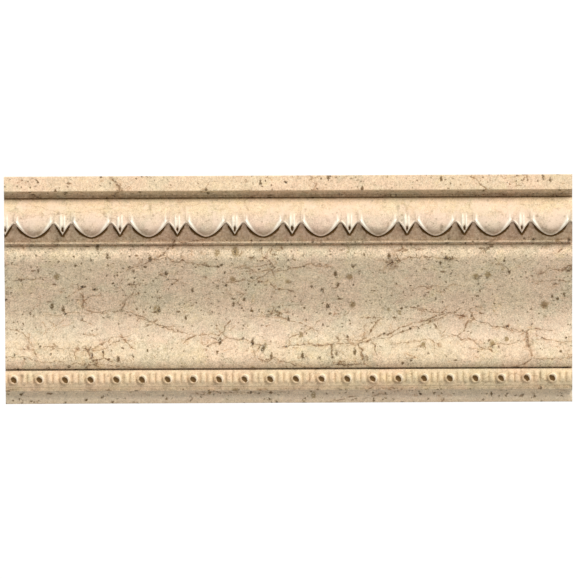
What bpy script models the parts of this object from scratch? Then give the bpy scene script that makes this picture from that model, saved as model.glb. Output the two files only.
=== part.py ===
"""A length of ceiling cornice moulding, cut square at both ends.

From the bottom up it has a plain fillet, a lip, a strip of beads and reels, a roll that
runs up into a wide cove, a band with a rounded arris, a listel, an ovolo carved with eggs
and darts, a soffit and a plain cap. The back has a face for the wall and a face for the
ceiling, with a plain slope between them.

Metres, X along the length, Z up. The wall face lies in the plane Y = 0 and faces +Y, and
the origin is at its middle. The moulding stands out from the wall towards -Y.
"""

import math

import bmesh
import bpy

LENGTH = 0.284

# Heights of the members, from the bottom edge up
FILLET_HEIGHT = 0.0062
LIP_HEIGHT = 0.0023
QUIRK_HEIGHT = 0.0010
ROLL_UNDER_HEIGHT = 0.0060
ROLL_FACE_HEIGHT = 0.0080
BAND_HEIGHT = 0.0036
GROOVE_HEIGHT = 0.00105
LISTEL_HEIGHT = 0.00105
NECK_HEIGHT = 0.0006
STEP_HEIGHT = 0.0013
CAVETTO_HEIGHT = 0.00195
CAP_HEIGHT = 0.00755

# The curve between the roll and the band: a cove, a straight slope and a rounded arris
COVE_RADIUS = 0.032
SLOPE_ANGLE = math.radians(39)
SLOPE_LENGTH = 0.0246
ARRIS_RADIUS = 0.0072

# How far each member stands out, the first from the wall
FILLET_THICKNESS = 0.0052
LIP_OUT = 0.0052
STRIP_OUT = 0.0071
ROLL_OUT = 0.0095
LISTEL_OUT = 0.0024
OVOLO_OUT = 0.0069
CAP_OUT = 0.0025

# How far surfaces fall back from the front of their own member
STRIP_TOP_BACK = 0.0003
STRIP_FOOT_BACK = 0.0017
QUIRK_CUT = 0.0020
ROLL_UNDER_BACK = 0.0021
GROOVE_CUT = 0.0010
LISTEL_LEDGE = 0.0005
OVOLO_TOP_BACK = 0.0033
OVOLO_FOOT_BACK = 0.0036
NECK_CUT = 0.0008
STEP_OUT = 0.0012
CAVETTO_LEDGE = 0.0008

# Eggs and darts. Clearances are above the listel, and the drop is from the notches between
# an egg and a dart, above which the carving fades into the plain ovolo. A dart has two fine
# ridges, DART_RIDGE either side of its middle
EGG_PITCH = 0.02868
FIRST_EGG = 0.0149
DART_WIDTH = 0.0083
NOTCH_WIDTH = 0.0009
EGG_CLEARANCE = 0.0022
EGG_DROP = 0.0069
DART_CLEARANCE = 0.0034
FADE_HEIGHT = 0.0074
PLAIN_OVOLO_HEIGHT = 0.0048
EGG_ROUNDNESS = 1.75
DART_HOLLOW = 1.25
NOTCH_CUT = 0.0019
UNDERCUT = 0.0003
EGG_ROUND_BACK = 0.0009
DART_ROUND_BACK = 0.0007
ROUND_REACH = 0.0020
DART_RIDGE = 0.0007

# Beads and reels. Margins are to the strip's foot and top, and gaps are along the strip
BEAD_PITCH = 0.01285
FIRST_BEAD = 0.00405
BEAD_FOOT_MARGIN = 0.0008
BEAD_TOP_MARGIN = 0.0017
BEAD_RADIUS = 0.0028
BEAD_CREST_RADIUS = 0.0020
BEAD_OUT = 0.0009
HOLE_RADIUS = 0.0014
HOLE_EDGE_OUT = 0.0008
HOLE_DEPTH = 0.0008
BEAD_TO_REEL_GAP = 0.0009
REEL_TO_BEAD_GAP = 0.0002
REEL_FOOT_MARGIN = 0.0014
REEL_TOP_MARGIN = 0.0011
REEL_OUT = 0.0006
REEL_END_SQUARENESS = 4
STRIP_FRONT_SHARE = 0.7

# Back
WALL_FACE_HEIGHT = 0.036
CEILING_FACE_DEPTH = 0.030

# Fineness of the faces
COVE_STEPS = 8
ARRIS_STEPS = 4
ROLL_STEPS = 3
CAVETTO_STEPS = 3
PLAIN_STEPS = 6
EGG_STEPS = 6
DART_STEPS = 3
FACE_STEPS = 4
STRIP_STEPS = 6
CELL_STEPS = 4
REEL_STEPS = 4
FACE_STEP_SPREAD = 1.3

SMOOTH_BELOW = math.radians(32)

# The rows run this far past the ends before both ends are cut off square
CUT_MARGIN = 0.004
HALF_LENGTH = LENGTH / 2

# Sizes that follow from the carving
STRIP_HEIGHT = BEAD_FOOT_MARGIN + 2 * BEAD_RADIUS + BEAD_TOP_MARGIN
STRIP_FRONT_RISE = STRIP_FRONT_SHARE * STRIP_HEIGHT
REEL_HEIGHT = STRIP_HEIGHT - REEL_FOOT_MARGIN - REEL_TOP_MARGIN
REEL_WIDTH = (BEAD_PITCH - 2 * BEAD_RADIUS - BEAD_TO_REEL_GAP - REEL_TO_BEAD_GAP) / 2
NOTCH_RISE = EGG_CLEARANCE + EGG_DROP
CARVING_RISE = NOTCH_RISE + FADE_HEIGHT
OVOLO_HEIGHT = CARVING_RISE + PLAIN_OVOLO_HEIGHT
EGG_HALF = (EGG_PITCH - DART_WIDTH) / 2 - NOTCH_WIDTH

# Heights and depths that follow from the members
BOTTOM = -WALL_FACE_HEIGHT / 2
LIP_FOOT = BOTTOM + FILLET_HEIGHT
STRIP_FOOT = LIP_FOOT + LIP_HEIGHT
STRIP_TOP = STRIP_FOOT + STRIP_HEIGHT
ROLL_FOOT = STRIP_TOP + QUIRK_HEIGHT
ROLL_FRONT = ROLL_FOOT + ROLL_UNDER_HEIGHT
COVE_FOOT = ROLL_FRONT + ROLL_FACE_HEIGHT
BAND_FOOT = (
    COVE_FOOT
    + (COVE_RADIUS + ARRIS_RADIUS) * math.sin(SLOPE_ANGLE)
    + SLOPE_LENGTH * math.cos(SLOPE_ANGLE)
)
GROOVE_FOOT = BAND_FOOT + BAND_HEIGHT
LISTEL_FOOT = GROOVE_FOOT + GROOVE_HEIGHT
OVOLO_FOOT = LISTEL_FOOT + LISTEL_HEIGHT
OVOLO_TOP = OVOLO_FOOT + OVOLO_HEIGHT
STEP_FOOT = OVOLO_TOP + NECK_HEIGHT
CAVETTO_FOOT = STEP_FOOT + STEP_HEIGHT
CAP_FOOT = CAVETTO_FOOT + CAVETTO_HEIGHT
TOP = CAP_FOOT + CAP_HEIGHT

LIP_DEPTH = FILLET_THICKNESS + LIP_OUT
STRIP_DEPTH = FILLET_THICKNESS + STRIP_OUT
ROLL_DEPTH = FILLET_THICKNESS + ROLL_OUT
BAND_DEPTH = (
    ROLL_DEPTH
    + (COVE_RADIUS + ARRIS_RADIUS) * (1 - math.cos(SLOPE_ANGLE))
    + SLOPE_LENGTH * math.sin(SLOPE_ANGLE)
)
LISTEL_DEPTH = BAND_DEPTH + LISTEL_OUT
OVOLO_DEPTH = BAND_DEPTH + OVOLO_OUT
NECK_DEPTH = OVOLO_DEPTH - OVOLO_TOP_BACK - NECK_CUT
STEP_DEPTH = NECK_DEPTH + STEP_OUT
CAP_DEPTH = OVOLO_DEPTH + CAP_OUT

NOTCH_LEVEL = OVOLO_FOOT + NOTCH_RISE
CARVING_TOP = OVOLO_FOOT + CARVING_RISE
BEAD_LEVEL = STRIP_FOOT + BEAD_FOOT_MARGIN + BEAD_RADIUS


def straight_row(depth, height):
    """Points of a plain line along the length."""
    reach = HALF_LENGTH + CUT_MARGIN
    xs = [-reach + 2 * reach * i / PLAIN_STEPS for i in range(PLAIN_STEPS + 1)]
    return [(x, -depth, height) for x in xs]


def join_rows(bm, lower, upper):
    """Faces between two lines of vertices that run along the length, facing the front."""
    i = 0
    j = 0
    while i < len(lower) - 1 or j < len(upper) - 1:
        low_next = lower[i + 1].co.x if i < len(lower) - 1 else math.inf
        up_next = upper[j + 1].co.x if j < len(upper) - 1 else math.inf
        if abs(low_next - up_next) < 1e-7:
            bm.faces.new((lower[i], lower[i + 1], upper[j + 1], upper[j]))
            i += 1
            j += 1
        elif low_next < up_next:
            bm.faces.new((lower[i], lower[i + 1], upper[j]))
            i += 1
        else:
            bm.faces.new((lower[i], upper[j + 1], upper[j]))
            j += 1


def vertices(bm, points):
    return [bm.verts.new(point) for point in points]


def strip_depth(height):
    """Depth of the plain face of the bead strip, foremost part-way up and round below."""
    rise = height - STRIP_FOOT
    if rise > STRIP_FRONT_RISE:
        share = (rise - STRIP_FRONT_RISE) / (STRIP_HEIGHT - STRIP_FRONT_RISE)
        return STRIP_DEPTH - STRIP_TOP_BACK * share**2
    share = 1 - rise / STRIP_FRONT_RISE
    return STRIP_DEPTH - STRIP_FOOT_BACK * share**2


def ovolo_depth(height):
    """Depth of the ovolo's plain face, foremost level with the notches."""
    rise = height - OVOLO_FOOT
    if rise > NOTCH_RISE:
        share = (rise - NOTCH_RISE) / (OVOLO_HEIGHT - NOTCH_RISE)
        return OVOLO_DEPTH - OVOLO_TOP_BACK * share**2
    share = 1 - rise / NOTCH_RISE
    return OVOLO_DEPTH - OVOLO_FOOT_BACK * share**2


def ground_depth(height):
    """Depth of the sunk ground behind the carving, sloping back down to the listel."""
    foot = LISTEL_DEPTH - LISTEL_LEDGE
    notch = ovolo_depth(NOTCH_LEVEL) - NOTCH_CUT
    return foot + (notch - foot) * (height - OVOLO_FOOT) / NOTCH_RISE


def carving_place(x):
    """Distance from the nearest egg's middle and from the nearest dart's middle."""
    from_egg = (x + HALF_LENGTH - FIRST_EGG + EGG_PITCH / 2) % EGG_PITCH - EGG_PITCH / 2
    return abs(from_egg), EGG_PITCH / 2 - abs(from_egg)


def carving_edge(x):
    """Height of the lower edge of the carving: round under an egg, pointed under a dart."""
    from_egg, from_dart = carving_place(x)
    if from_egg < EGG_HALF:
        foot = OVOLO_FOOT + EGG_CLEARANCE
        return foot + (NOTCH_LEVEL - foot) * (from_egg / EGG_HALF) ** EGG_ROUNDNESS
    if from_dart < DART_WIDTH / 2:
        foot = OVOLO_FOOT + DART_CLEARANCE
        share = 1 - from_dart / (DART_WIDTH / 2)
        return NOTCH_LEVEL - (NOTCH_LEVEL - foot) * share**DART_HOLLOW
    return NOTCH_LEVEL


def carving_depth(x, height):
    """Depth of the carved face: eggs and darts round back towards their edges."""
    from_egg, from_dart = carving_place(x)
    fade = min(1, max(0, (CARVING_TOP - height) / (CARVING_TOP - NOTCH_LEVEL)))
    from_edge = height - carving_edge(x)
    if from_egg < EGG_HALF:
        inward = min(from_edge, EGG_HALF - from_egg)
        back = EGG_ROUND_BACK * math.exp(-max(inward, 0) / ROUND_REACH)
    elif from_dart < DART_WIDTH / 2:
        across = min(1, abs(from_dart - DART_RIDGE) / (DART_WIDTH / 2 - DART_RIDGE))
        back = DART_ROUND_BACK * across
        if from_dart < DART_RIDGE / 2:
            back = DART_ROUND_BACK
    else:
        back = EGG_ROUND_BACK
    return ovolo_depth(height) - back * fade


def repeats(first, pitch):
    """Middles of a pattern that covers the whole length and runs past both ends."""
    start = -HALF_LENGTH + first
    before = math.ceil((start + HALF_LENGTH) / pitch) + 1
    after = math.ceil((HALF_LENGTH - start) / pitch) + 1
    return [start + pitch * n for n in range(-before, after + 1)]


def ovolo_rows():
    """Lines of the egg-and-dart carving, from the listel's top edge to the ovolo's top."""
    half = EGG_PITCH / 2
    offsets = [EGG_HALF * i / EGG_STEPS for i in range(EGG_STEPS + 1)]
    dart = DART_WIDTH / 2
    offsets += [half - dart + (dart - DART_RIDGE) * i / DART_STEPS for i in range(DART_STEPS + 1)]
    offsets += [half]
    columns = []
    for middle in repeats(FIRST_EGG, EGG_PITCH):
        columns += [middle - offset for offset in reversed(offsets[:-1])]
        columns += [middle + offset for offset in offsets[1:]]
    edges = [carving_edge(x) for x in columns]
    rows = [[(x, -ground_depth(OVOLO_FOOT), OVOLO_FOOT) for x in columns]]
    rows.append([
        (x, -ground_depth(edge + UNDERCUT), edge + UNDERCUT) for x, edge in zip(columns, edges)
    ])
    for step in range(FACE_STEPS + 1):
        row = []
        for x, edge in zip(columns, edges):
            height = edge + (CARVING_TOP - edge) * (step / FACE_STEPS) ** FACE_STEP_SPREAD
            row.append((x, -carving_depth(x, height), height))
        rows.append(row)
    return rows


def reel_out(across, height):
    """How far a reel stands out of the strip: rounded across, with rounded ends."""
    up = (height - STRIP_FOOT - REEL_FOOT_MARGIN) / REEL_HEIGHT * 2 - 1
    if abs(up) >= 1 or abs(across) >= 1:
        return 0
    return REEL_OUT * math.sqrt(1 - up**REEL_END_SQUARENESS) * (1 - across**2)


def strip_columns(bm, xs_and_places):
    """Upright lines of vertices on the strip, from its foot to its top."""
    columns = []
    for x, across in xs_and_places:
        column = []
        for i in range(STRIP_STEPS + 1):
            height = STRIP_FOOT + STRIP_HEIGHT * i / STRIP_STEPS
            out = reel_out(across, height)
            column.append(bm.verts.new((x, -strip_depth(height) - out, height)))
        columns.append(column)
    return columns


def bead_ring(bm, middle, angles, radius, out):
    """Vertices round a bead, at a radius and a distance out of the strip."""
    ring = []
    for angle in angles:
        height = BEAD_LEVEL + radius * math.sin(angle)
        depth = strip_depth(height) + out
        ring.append(bm.verts.new((middle + radius * math.cos(angle), -depth, height)))
    return ring


def add_bead(bm, middle, left, right, below, above):
    """A pierced bead in the cell between two upright lines of the strip."""
    border = list(left) + above + list(reversed(right)) + list(reversed(below))
    angles = [math.atan2(v.co.z - BEAD_LEVEL, v.co.x - middle) for v in border]
    rings = [
        border,
        bead_ring(bm, middle, angles, BEAD_RADIUS, 0),
        bead_ring(bm, middle, angles, BEAD_CREST_RADIUS, BEAD_OUT),
        bead_ring(bm, middle, angles, HOLE_RADIUS, HOLE_EDGE_OUT),
    ]
    for outer, inner in zip(rings, rings[1:]):
        for i in range(len(border)):
            j = (i + 1) % len(border)
            bm.faces.new((outer[j], outer[i], inner[i], inner[j]))
    floor = strip_depth(BEAD_LEVEL) + HOLE_EDGE_OUT - HOLE_DEPTH
    centre = bm.verts.new((middle, -floor, BEAD_LEVEL))
    last = rings[-1]
    for i in range(len(border)):
        bm.faces.new((last[(i + 1) % len(border)], last[i], centre))


def add_strip(bm):
    """The bead-and-reel strip. Returns its foot line and its top line."""
    before = BEAD_RADIUS + REEL_TO_BEAD_GAP / 2
    after = BEAD_RADIUS + BEAD_TO_REEL_GAP / 2
    cell = before + after
    foot = []
    top = []
    last = None
    for middle in repeats(FIRST_BEAD, BEAD_PITCH):
        inner = [middle - before + cell * i / CELL_STEPS for i in range(1, CELL_STEPS)]
        ends = strip_columns(bm, [(middle - before, 1), (middle + after, 1)])
        below = vertices(bm, [(x, -strip_depth(STRIP_FOOT), STRIP_FOOT) for x in inner])
        above = vertices(bm, [(x, -strip_depth(STRIP_TOP), STRIP_TOP) for x in inner])
        add_bead(bm, middle, ends[0], ends[1], below, above)
        if last:
            pair = middle - BEAD_RADIUS - REEL_TO_BEAD_GAP - REEL_WIDTH
            places = []
            for side in (-0.5, 0.5):
                for i in range(REEL_STEPS + 1):
                    across = 2 * i / REEL_STEPS - 1
                    places.append((pair + REEL_WIDTH * (side + across / 2), across))
            del places[REEL_STEPS]
            reels = strip_columns(bm, places)
            columns = [last] + reels + [ends[0]]
            for one, two in zip(columns, columns[1:]):
                for i in range(STRIP_STEPS):
                    bm.faces.new((one[i], two[i], two[i + 1], one[i + 1]))
            foot += [column[0] for column in reels]
            top += [column[-1] for column in reels]
        foot += [ends[0][0]] + below + [ends[1][0]]
        top += [ends[0][-1]] + above + [ends[1][-1]]
        last = ends[1]
    return foot, top


def arc(centre_depth, centre_height, radius, start, end, steps):
    """Points (depth, height) of an arc; angle 0 points away from the wall, 90 up."""
    points = []
    for i in range(steps + 1):
        angle = start + (end - start) * i / steps
        depth = centre_depth + radius * math.cos(angle)
        points.append((depth, centre_height + radius * math.sin(angle)))
    return points


def roll_to_listel():
    """Profile (depth, height) from the quirk above the strip up to the listel's top."""
    quirk = strip_depth(STRIP_TOP) - QUIRK_CUT
    points = [(quirk, STRIP_TOP), (quirk, ROLL_FOOT)]
    for i in range(ROLL_STEPS + 1):
        share = 1 - i / ROLL_STEPS
        height = ROLL_FRONT - ROLL_UNDER_HEIGHT * share
        points.append((ROLL_DEPTH - ROLL_UNDER_BACK * share**2, height))
    turn = math.pi
    points += arc(
        ROLL_DEPTH + COVE_RADIUS, COVE_FOOT, COVE_RADIUS, turn, turn - SLOPE_ANGLE, COVE_STEPS
    )
    points += arc(
        BAND_DEPTH - ARRIS_RADIUS, BAND_FOOT, ARRIS_RADIUS, -SLOPE_ANGLE, 0, ARRIS_STEPS
    )
    groove = BAND_DEPTH - GROOVE_CUT
    points += [(BAND_DEPTH, GROOVE_FOOT), (groove, GROOVE_FOOT), (groove, LISTEL_FOOT)]
    points += [(LISTEL_DEPTH, LISTEL_FOOT), (LISTEL_DEPTH, OVOLO_FOOT)]
    return points


def soffit_to_wall():
    """Profile (depth, height) from the ovolo's top, over the cap and down the back."""
    points = [(OVOLO_DEPTH - OVOLO_TOP_BACK, OVOLO_TOP), (NECK_DEPTH, OVOLO_TOP)]
    points += [(NECK_DEPTH, STEP_FOOT), (STEP_DEPTH, STEP_FOOT), (STEP_DEPTH, CAVETTO_FOOT)]
    start = STEP_DEPTH + CAVETTO_LEDGE
    for i in range(CAVETTO_STEPS + 1):
        angle = math.pi / 2 * i / CAVETTO_STEPS
        depth = start + (CAP_DEPTH - start) * (1 - math.cos(angle))
        points.append((depth, CAVETTO_FOOT + CAVETTO_HEIGHT * math.sin(angle)))
    points += [(CAP_DEPTH, TOP), (CAP_DEPTH - CEILING_FACE_DEPTH, TOP)]
    points += [(0, BOTTOM + WALL_FACE_HEIGHT)]
    return points


def cut_square(bm):
    """Cuts both ends off square and closes them."""
    for side in (-1, 1):
        bmesh.ops.bisect_plane(
            bm,
            geom=bm.verts[:] + bm.edges[:] + bm.faces[:],
            dist=1e-7,
            plane_co=(side * HALF_LENGTH, 0, 0),
            plane_no=(side, 0, 0),
            clear_outer=True,
        )
        rim = [edge for edge in bm.edges if len(edge.link_faces) == 1]
        rim = [edge for edge in rim if all(side * v.co.x > HALF_LENGTH - 1e-6 for v in edge.verts)]
        bmesh.ops.edgeloop_fill(bm, edges=rim)


def stone_material():
    material = bpy.data.materials.new("cream_stone_finish")
    material.use_nodes = True
    shader = material.node_tree.nodes["Principled BSDF"]
    shader.inputs["Base Color"].default_value = (0.79, 0.62, 0.42, 1)
    shader.inputs["Roughness"].default_value = 0.6
    shader.inputs["Metallic"].default_value = 0
    return material


def build_cornice():
    bm = bmesh.new()
    lower = [(0, BOTTOM), (FILLET_THICKNESS, BOTTOM), (FILLET_THICKNESS, LIP_FOOT)]
    lower += [(LIP_DEPTH, LIP_FOOT), (LIP_DEPTH, STRIP_FOOT)]
    below_strip = [vertices(bm, straight_row(*point)) for point in lower]
    strip_foot, strip_top = add_strip(bm)
    above_strip = [vertices(bm, straight_row(*point)) for point in roll_to_listel()]
    carving = [vertices(bm, row) for row in ovolo_rows()]
    above_carving = [vertices(bm, straight_row(*point)) for point in soffit_to_wall()]

    stacks = [
        below_strip + [strip_foot],
        [strip_top] + above_strip + carving + above_carving + [below_strip[0]],
    ]
    for rows in stacks:
        for lower_row, upper_row in zip(rows, rows[1:]):
            join_rows(bm, lower_row, upper_row)
    cut_square(bm)
    bmesh.ops.recalc_face_normals(bm, faces=bm.faces[:])

    mesh = bpy.data.meshes.new("cornice")
    bm.to_mesh(mesh)
    bm.free()
    for face in mesh.polygons:
        face.use_smooth = True
    mesh.set_sharp_from_angle(angle=SMOOTH_BELOW)
    cornice = bpy.data.objects.new("cornice", mesh)
    bpy.context.scene.collection.objects.link(cornice)
    mesh.materials.append(stone_material())
    return cornice


for old in list(bpy.data.objects):
    bpy.data.objects.remove(old, do_unlink=True)
build_cornice()
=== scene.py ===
"""Looks for the length of ceiling cornice: fine relief, printed stone, gilding and patina, with
painted shade and painted highlights.
"""

import math

import bmesh
import bpy
import numpy as np
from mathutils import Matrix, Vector


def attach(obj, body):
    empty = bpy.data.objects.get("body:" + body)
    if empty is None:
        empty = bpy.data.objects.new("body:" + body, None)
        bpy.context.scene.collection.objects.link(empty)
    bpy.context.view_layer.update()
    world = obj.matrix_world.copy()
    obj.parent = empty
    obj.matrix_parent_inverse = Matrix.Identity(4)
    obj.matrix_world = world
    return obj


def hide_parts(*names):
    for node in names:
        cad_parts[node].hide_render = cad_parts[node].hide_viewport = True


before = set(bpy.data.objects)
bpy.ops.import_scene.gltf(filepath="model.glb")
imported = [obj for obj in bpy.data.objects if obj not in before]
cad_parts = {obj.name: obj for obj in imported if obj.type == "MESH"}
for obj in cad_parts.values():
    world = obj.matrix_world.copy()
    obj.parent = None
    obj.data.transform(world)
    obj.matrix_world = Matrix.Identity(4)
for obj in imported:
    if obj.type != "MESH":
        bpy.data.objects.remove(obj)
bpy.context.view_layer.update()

MM = 0.001

# Member sizes in millimetres, as the solid has them
LENGTH = 284.0
FILLET_HEIGHT = 6.2
LIP_HEIGHT = 2.3
QUIRK_HEIGHT = 1.0
ROLL_UNDER_HEIGHT = 6.0
ROLL_FACE_HEIGHT = 8.0
BAND_HEIGHT = 3.6
GROOVE_HEIGHT = 1.05
LISTEL_HEIGHT = 1.05
NECK_HEIGHT = 0.6
STEP_HEIGHT = 1.3
CAVETTO_HEIGHT = 1.95
CAP_HEIGHT = 7.55
COVE_RADIUS = 32.0
SLOPE_ANGLE = math.radians(39)
SLOPE_LENGTH = 24.6
ARRIS_RADIUS = 7.2
FILLET_THICKNESS = 5.2
LIP_OUT = 5.2
STRIP_OUT = 7.1
ROLL_OUT = 9.5
LISTEL_OUT = 2.4
OVOLO_OUT = 6.9
CAP_OUT = 2.5
STRIP_TOP_BACK = 0.3
STRIP_FOOT_BACK = 1.7
QUIRK_CUT = 2.0
ROLL_UNDER_BACK = 2.1
GROOVE_CUT = 1.0
LISTEL_LEDGE = 0.5
OVOLO_TOP_BACK = 3.3
OVOLO_FOOT_BACK = 3.6
NECK_CUT = 0.8
STEP_OUT = 1.2
CAVETTO_LEDGE = 0.8
EGG_PITCH = 28.68
FIRST_EGG = 14.9
DART_WIDTH = 8.3
NOTCH_WIDTH = 0.9
EGG_CLEARANCE = 2.2
EGG_DROP = 6.9
DART_CLEARANCE = 3.4
FADE_HEIGHT = 7.4
PLAIN_OVOLO_HEIGHT = 4.8
EGG_ROUNDNESS = 1.75
DART_HOLLOW = 1.25
NOTCH_CUT = 1.9
BEAD_PITCH = 12.85
FIRST_BEAD = 4.05
BEAD_FOOT_MARGIN = 0.8
BEAD_TOP_MARGIN = 1.7
BEAD_RADIUS = 2.8
BEAD_CREST_RADIUS = 2.0
BEAD_OUT = 0.9
BEAD_PIERCE = 1.25
BEAD_TO_REEL_GAP = 0.9
REEL_TO_BEAD_GAP = 0.2
REEL_FOOT_MARGIN = 1.4
REEL_TOP_MARGIN = 1.1
REEL_OUT = 0.6
STRIP_FRONT_SHARE = 0.7
WALL_FACE_HEIGHT = 36.0
CEILING_FACE_DEPTH = 30.0

# Fine relief, in millimetres
EDGE_ROUND = 0.35
FINE_EDGE_ROUND = 0.2
EGG_SINK = 1.0
EGG_FOOT_SINK = 1.1
EGG_SINK_REACH = 2.2
EGG_RIM_OUT = 0.5
EGG_RIM_AT_NOTCH = 0.85
EGG_RIM_AT_FOOT = 0.34
EGG_RIM_WIDTH = 0.42
SHOULDER_AT = 8.35
SHOULDER_LEAN = 0.25
SHOULDER_WIDTH = 0.55
SHOULDER_OUT = 0.42
DART_SINK = 0.8
DART_SINK_REACH = 0.6
DART_RIM_OUT = 0.55
DART_RIM_AT = 0.5
DART_RIM_WIDTH = 0.34
DART_FACET_SINK = 0.5
DART_RIDGE_AT = 0.95
DART_RIDGE_WIDTH = 0.5
DART_RIDGE_OUT = 0.6
DART_RIDGE_TOP = 12.8
DART_RIDGE_FADE = 2.4
PIT_RISE = 6.1
PIT_HALF_HEIGHT = 1.4
PIT_HALF_WIDTH = 0.6
PIT_DEPTH = 1.3
STEM_OUT = 0.22
STEM_WIDTH = 1.0
STEM_TO_EGG = 0.75
STEM_TALL = 7.2
NOTCH_CALM_WIDTH = 0.85
TRENCH_DEPTH = 0.6
TRENCH_REACH = 0.6
CARVING_FOOT_LIFT = 0.15
OUTLINE_WIDTH = 1.3
MOAT_DEPTH = 0.06
MOAT_WIDTH = 0.3
REEL_GAP_CUT = 0.2
HOLE_RIGHT = 0.28
HOLE_HALF_LENGTH = 2.1
HOLE_HALF_WIDTH = 1.45
BEAD_CENTRE_RING = 0.25

# Shapes of that relief, without a unit
SINK_CURVE = 1.3
EGG_RIM_LOW_SHARE = 0.35
EGG_RIM_NARROW = 0.42
EGG_RIM_WIDENS = 1.1
EGG_RIM_MOVES = 1.5
STEM_DIES = 1.2
NOTCH_CALM = 0.85
BEAD_ROUNDNESS = 0.8
HOLE_ROUNDNESS = 1.5

# Limits for ramp(), where a thing begins and where it is full:
# as shares of the egg's half width
EGG_GILDED_SIDE = (0.35, 0.85)
EGG_GROUND_STRONG = (0.95, 0.80)
# as shares of the reel's half width and of the hole's size
REEL_LEFT_SIDE = (-0.35, -0.95)
HOLE_EDGE = (1.08, 0.5)
# in millimetres from the outline, the dart's middle or the bead's middle
EGG_SHADE_AWAY = (5.5, 0.9)
DART_FACET_ACROSS = (3.2, 0.8)
BEAD_RING_INSIDE = (1.0, 1.6)
BEAD_RING_OUTSIDE = (3.3, 2.5)
# in millimetres above the notches
SHOULDER_ABOVE = (6.0, 0.5)
SHOULDER_BELOW = (-1.8, 0.2)
SHOULDER_LEANS = (1.5, -1.0)
EGG_SHADE_BELOW = (-0.5, -5.5)
DART_SHADE_BELOW = (1, -3)
STEM_BELOW = (-1.0, 0.3)
STEM_SHADE_ABOVE = (STEM_TALL, 2.0)
STEM_SHADE_BELOW = (0.3, 1.5)
GROUND_TIP_BELOW = (-3, 0)

# How much gilding, patina, wash and painted light a place gets, 1 at most; the SHADE amounts
# are painted shade and the HIGHLIGHT amount a painted highlight
EGG_RIM_GILDING = 0.9
SHOULDER_GILDING = 0.9
DART_RIM_GILDING = 0.5
DART_RIDGE_GILDING = 0.9
DART_MIDDLE_GILDING = 0.4
DART_FACET_GILDING = 0.5
DART_FOOT_GILDING = 0.3
STEM_GILDING = 0.25
BEAD_RIGHT_HIGHLIGHT = 0.4
PIT_PATINA = 0.95
EGG_FOOT_SHADE = 0.62
SHOULDER_CREASE_SHADE = 0.5
DART_HOLLOW_SHADE = 0.3
STEM_CREASE_SHADE = 0.45
GROUND_SHADE_AND_WASH = 0.78
GROUND_SHADE_AND_WASH_AT_TIPS = 0.6
LISTEL_LEDGE_SHADE = 0.7
REEL_GAP_SHADE = 0.4
REEL_LEFT_SHADE = 0.3
BEAD_LEFT_SHADE = 0.6
ROLL_UNDER_SHADE = 0.55
CAVETTO_SHADE = 0.65
OVOLO_TOP_SHADES = ((3.6, 0), (2.4, 0), (1.2, 0), (0.7, 0.12), (0.3, 0.55), (0, 1))

# Colours, linear
STONE_PINK = (0.62, 0.462, 0.315)
STONE_CREAM = (0.60, 0.473, 0.312)
STONE_GREY = (0.548, 0.460, 0.305)
STONE_YELLOW = (0.62, 0.490, 0.285)
STONE_LIGHT_GREY = (0.68, 0.585, 0.455)
STONE_ROSE = (0.70, 0.535, 0.405)
STONE_PALE = (0.70, 0.565, 0.400)
# Pale gilt; the same colour paints the highlight on the right of the beads' rings
GILDING_AND_HIGHLIGHT = (0.98, 0.93, 0.78)
# Dark brown of the patina in the beads' holes and the darts' pits, and of the painted shadow
# along the carving's outlines
PATINA_AND_SHADE = (0.10, 0.050, 0.013)
FLECK = (0.80, 0.68, 0.50)
PIT_DARK = (0.17, 0.110, 0.015)
PIT_BROWN = (0.24, 0.145, 0.035)
PIT_SOFT = (0.36, 0.285, 0.12)
FOAM_SHADE = (0.55, 0.50, 0.41)
FOAM_LIGHT = (0.62, 0.575, 0.49)
FOAM_STREAK = (0.50, 0.45, 0.355)
FLOOR_GREY = (0.55, 0.55, 0.55)
WHITE = (1.0, 1.0, 1.0)
LAMP_COLOUR = (1.0, 0.99, 0.975)

# Tints that the stone is multiplied by; two of them are painted light, and the wash's brown
# paints shade
GRAIN_BROWN = (0.72, 0.64, 0.55)
OUTER_MEMBERS_TINT = (1.0, 0.985, 0.955)
EGG_TINT = (1.0, 0.99, 1.09)
CAP_TINT = (1.03, 1.0, 1.0)
CARVED_TINT = (1.0, 0.975, 0.92)
# Painted light: brightens the strip's middle, where its face turns down
STRIP_MIDDLE_PAINTED_LIGHT = (1.16, 1.17, 1.19)
# Painted light: brightens the ovolo just under the neck's shadow, to sharpen that shadow's edge
OVOLO_EDGE_PAINTED_LIGHT = (1.08, 1.06, 1.04)
LOW_COVE_TINT = (1.06, 1.075, 1.11)
CRACK_STAIN = (0.80, 0.70, 0.60)
TANGLE_BROWN = (0.48, 0.34, 0.24)
# Brown of the wash, which mostly paints shade in grooves, creases, hollows and under members
WASH_AND_SHADE_BROWN = (0.43, 0.36, 0.28)

# The print's patterns. Sizes are in millimetres, stretches along X, Y and Z
# Clouds: size, detail, noise level where one begins and where it is full, share, colour
CLOUDS = (
    (15, 4, 0.48, 0.64, 0.8, STONE_GREY),
    (11, 3, 0.56, 0.70, 0.5, STONE_YELLOW),
)
# Grain: size, strength
GRAIN = ((0.42, 1.6), (0.75, 1.1), (2.2, 0.7), (5.0, 0.42))
# Cracks: stretch, size, half width, level that a place needs, help low in the cove, tint
CRACKS = (
    ((0.42, 0.6, 1.0), 12, 0.019, 0.50, 0.17, (0.41, 0.31, 0.20)),
    ((0.30, 0.6, 1.1), 22, 0.011, 0.47, 0.0, (0.38, 0.29, 0.19)),
    ((1.3, 0.8, 0.6), 13, 0.018, 0.60, 0.05, (0.42, 0.32, 0.22)),
    ((0.8, 0.8, 1.1), 5.5, 0.024, 0.585, 0.03, (0.60, 0.47, 0.36)),
)
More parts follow.
